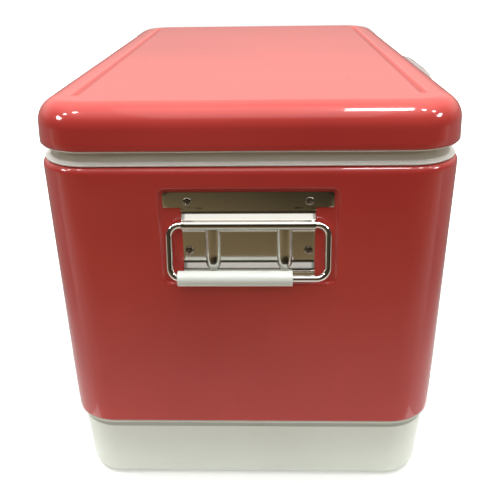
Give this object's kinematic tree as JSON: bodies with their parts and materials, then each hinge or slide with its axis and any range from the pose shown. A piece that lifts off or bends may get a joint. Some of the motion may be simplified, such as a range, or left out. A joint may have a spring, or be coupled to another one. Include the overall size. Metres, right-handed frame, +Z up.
{
  "type": "insulated cooler chest",
  "caption": "Insulated picnic cooler chest with a red steel belt and lid, white base and tub, end bail handles, front latch and rear hinges.",
  "frame": {"origin": "middle of the base's underside, on the surface the chest stands on", "axes": "+X along the chest's length towards the drain end, -Y towards the front with the latch, +Z up"},
  "size_m": [0.614, 0.4082, 0.41],
  "materials": {
    "red_enamel": "gloss baked enamel on steel sheet",
    "white_moulding": "semi-gloss moulded plastic",
    "liner_plastic": "semi-gloss moulded plastic",
    "foam": "rigid foam, hidden",
    "rubber": "matt seal rubber",
    "stainless": "bright rolled stainless sheet",
    "plated_wire": "bright plated steel wire",
    "screw_steel": "plated steel",
    "grip_vinyl": "satin vinyl tube"
  },
  "bodies": {
    "chest": {"base_tray": "white_moulding", "steel_belt": "red_enamel", "inner_liner": "liner_plastic", "body_foam": "foam", "drain_spout": "white_moulding", "drain_washer": "rubber", "drain_nut": "white_moulding", "handle_bracket_left": "stainless", "handle_bracket_right": "stainless", "bracket_screws_left": "screw_steel", "bracket_screws_right": "screw_steel", "latch_bracket": "stainless", "latch_bracket_screws": "screw_steel", "latch_pin": "screw_steel", "latch_spring": "screw_steel", "hinge_body_leaf_left": "stainless", "hinge_body_leaf_right": "stainless", "hinge_pin_left": "screw_steel", "hinge_pin_right": "screw_steel", "hinge_body_screws": "screw_steel"},
    "lid": {"lid_skin": "red_enamel", "lid_foam": "foam", "lid_liner": "liner_plastic", "lid_gasket": "rubber", "latch_strike": "stainless", "latch_strike_screws": "screw_steel", "hinge_lid_leaf_left": "stainless", "hinge_lid_leaf_right": "stainless", "hinge_lid_screws": "screw_steel"},
    "bail_left": {"bail_left": "plated_wire"},
    "bail_right": {"bail_right": "plated_wire"},
    "grip_left": {"grip_left": "grip_vinyl"},
    "grip_right": {"grip_right": "grip_vinyl"},
    "latch_lever": {"latch_lever": "stainless"},
    "drain_cap": {"drain_cap": "white_moulding"}
  },
  "joints": [
    {"name": "lid_hinge", "type": "hinge", "parent": "chest", "child": "lid", "pos_m": [0, 0.1968, 0.363], "axis": [-1, 0, 0], "range_deg": [0, 95]},
    {"name": "bail_left_swing", "type": "hinge", "parent": "chest", "child": "bail_left", "pos_m": [-0.291, 0, 0.3027], "axis": [0, 1, 0], "range_deg": [0, 160]},
    {"name": "bail_right_swing", "type": "hinge", "parent": "chest", "child": "bail_right", "pos_m": [0.291, 0, 0.3027], "axis": [0, -1, 0], "range_deg": [0, 160]},
    {"name": "grip_left_slide", "type": "slide", "parent": "bail_left", "child": "grip_left", "axis": [0, 1, 0], "range_m": [-0.0248, 0]},
    {"name": "grip_right_slide", "type": "slide", "parent": "bail_right", "child": "grip_right", "axis": [0, 1, 0], "range_m": [-0.0124, 0.0124]},
    {"name": "latch_pull", "type": "hinge", "parent": "chest", "child": "latch_lever", "pos_m": [0, -0.1975, 0.33], "axis": [1, 0, 0], "range_deg": [0, 35], "stiffness_Nm_per_rad": 0.5, "springref_deg": -11.46},
    {"name": "cap_off", "type": "slide", "parent": "chest", "child": "drain_cap", "axis": [1, 0, 0], "range_m": [0, 0.03]}
  ]
}
